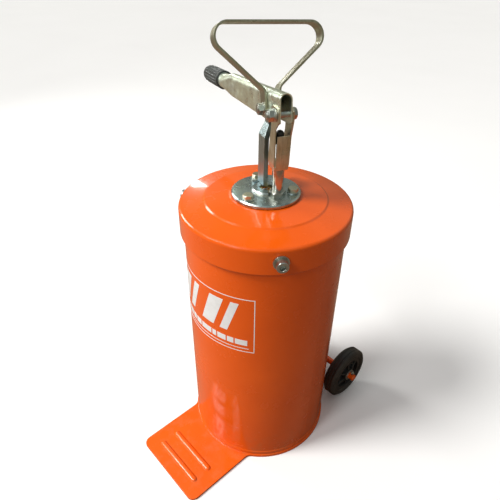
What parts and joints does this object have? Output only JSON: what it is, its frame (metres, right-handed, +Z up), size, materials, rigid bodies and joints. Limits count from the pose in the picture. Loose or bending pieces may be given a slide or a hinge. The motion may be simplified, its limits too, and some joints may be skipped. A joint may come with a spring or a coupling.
{
  "type": "gear oil pump",
  "caption": "Hand-lever gear oil pump on a lidded round steel drum with a foot plate, transport wheels on a rear axle, a vertical piston pump and a looped carrying handle.",
  "frame": {"origin": "on the drum's axis at the floor, which is the underside of the base plate", "axes": "+Z up along the drum's axis, the foot plate towards -Y, the wheels towards +Y, the wheel axle along X"},
  "size_m": [0.4275, 0.407, 0.6703],
  "materials": {
    "orange_enamel": "gloss",
    "zinc_plate": "satin",
    "bright_steel": "polished",
    "bare_steel": "satin",
    "brass": "satin",
    "black_rubber": "matte",
    "tyre_rubber": "matte",
    "black_plastic": "satin"
  },
  "bodies": {
    "tank": {"base_plate": "orange_enamel", "drum_shell": "orange_enamel", "drum_bottom": "orange_enamel", "axle_brackets": "orange_enamel", "wheel_axle": "orange_enamel", "axle_collars": "orange_enamel", "axle_washers": "zinc_plate", "axle_split_pins": "zinc_plate"},
    "wheel_left": {"tyre_left": "tyre_rubber", "wheel_hub_left": "black_plastic"},
    "wheel_right": {"tyre_right": "tyre_rubber", "wheel_hub_right": "black_plastic"},
    "lid_and_pump": {"carrying_handle": "zinc_plate", "delivery_pipe": "bare_steel", "filler_plug": "zinc_plate", "flange_gasket": "black_rubber", "flange_nuts": "zinc_plate", "flange_screws": "zinc_plate", "flange_washers": "zinc_plate", "foot_valve_body": "brass", "foot_valve_pin": "bright_steel", "fulcrum_bolt": "zinc_plate", "fulcrum_nut": "zinc_plate", "fulcrum_sleeve": "zinc_plate", "fulcrum_washer": "zinc_plate", "gland_nut": "zinc_plate", "guide_bush": "brass", "lever_support": "zinc_plate", "lid": "orange_enamel", "lid_clamp_screws": "zinc_plate", "lid_clamp_washers": "zinc_plate", "lid_seal": "black_rubber", "lid_weld_nuts": "orange_enamel", "outlet_fitting": "zinc_plate", "pump_cylinder": "bare_steel", "pump_flange": "zinc_plate", "rod_seal": "black_rubber", "strainer": "bright_steel"},
    "lever": {"lever_arm": "zinc_plate", "lever_grip": "black_rubber", "link_bolt": "zinc_plate", "link_nut": "zinc_plate", "link_washers": "zinc_plate"},
    "plunger": {"piston_rod": "bright_steel", "rod_nut": "zinc_plate", "yoke": "zinc_plate", "buffer_dome": "black_rubber", "piston": "brass", "piston_seals": "black_rubber"},
    "piston_valve": {"piston_ball": "bright_steel"},
    "foot_valve": {"foot_valve_ball": "bright_steel"}
  },
  "joints": [
    {"name": "wheel_spin_left", "type": "hinge", "parent": "tank", "child": "wheel_left", "pos_m": [-0.09, 0.14, 0.052], "axis": [1, 0, 0], "continuous": true},
    {"name": "wheel_spin_right", "type": "hinge", "parent": "tank", "child": "wheel_right", "pos_m": [0.09, 0.14, 0.052], "axis": [1, 0, 0], "continuous": true},
    {"name": "lid_lift", "type": "slide", "parent": "tank", "child": "lid_and_pump", "axis": [0, 0, 1], "range_m": [0, 0.45]},
    {"name": "lever_swing", "type": "hinge", "parent": "lid_and_pump", "child": "lever", "pos_m": [-0.00776, 0.01331, 0.569], "axis": [0.4067, 0.9135, 0], "range_deg": [0, 42]},
    {"name": "piston_stroke", "type": "slide", "parent": "lid_and_pump", "child": "plunger", "axis": [0, 0, 1], "range_m": [-0.0285, 0]},
    {"name": "piston_valve_lift", "type": "slide", "parent": "plunger", "child": "piston_valve", "axis": [0, 0, 1], "range_m": [0, 0.002]},
    {"name": "foot_valve_lift", "type": "slide", "parent": "lid_and_pump", "child": "foot_valve", "axis": [0, 0, 1], "range_m": [0, 0.003]}
  ],
  "couplings": [
    {"joint": "piston_stroke", "follows": "lever_swing", "m_per_rad": -0.037788}
  ]
}
